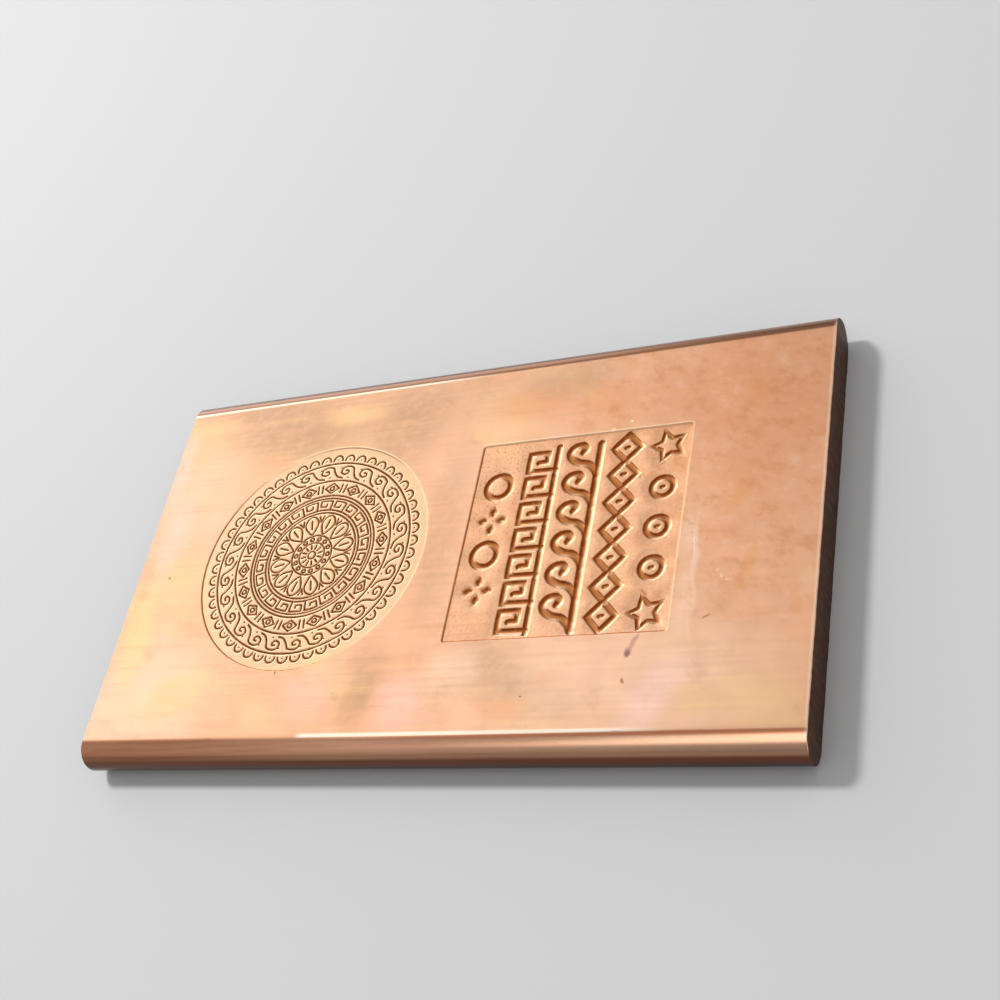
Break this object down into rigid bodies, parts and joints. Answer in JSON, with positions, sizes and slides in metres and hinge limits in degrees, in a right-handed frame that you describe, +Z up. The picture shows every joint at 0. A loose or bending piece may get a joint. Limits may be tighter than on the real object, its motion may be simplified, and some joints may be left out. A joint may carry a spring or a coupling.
{
  "type": "stamped copper ingot",
  "caption": "Flat copper bar with full-round long edges and cut ends, its upper face stamped with a round medallion and a square panel.",
  "frame": {"origin": "middle of the flat underside, on which the bar lies", "axes": "+X along the bar towards the end with the square panel, +Y across the bar, +Z up out of the stamped face"},
  "size_m": [0.1056, 0.0634, 0.0063],
  "materials": {
    "copper": "satin rolled copper, lightly tarnished"
  },
  "bodies": {
    "root": {"bar": "copper"}
  },
  "joints": []
}
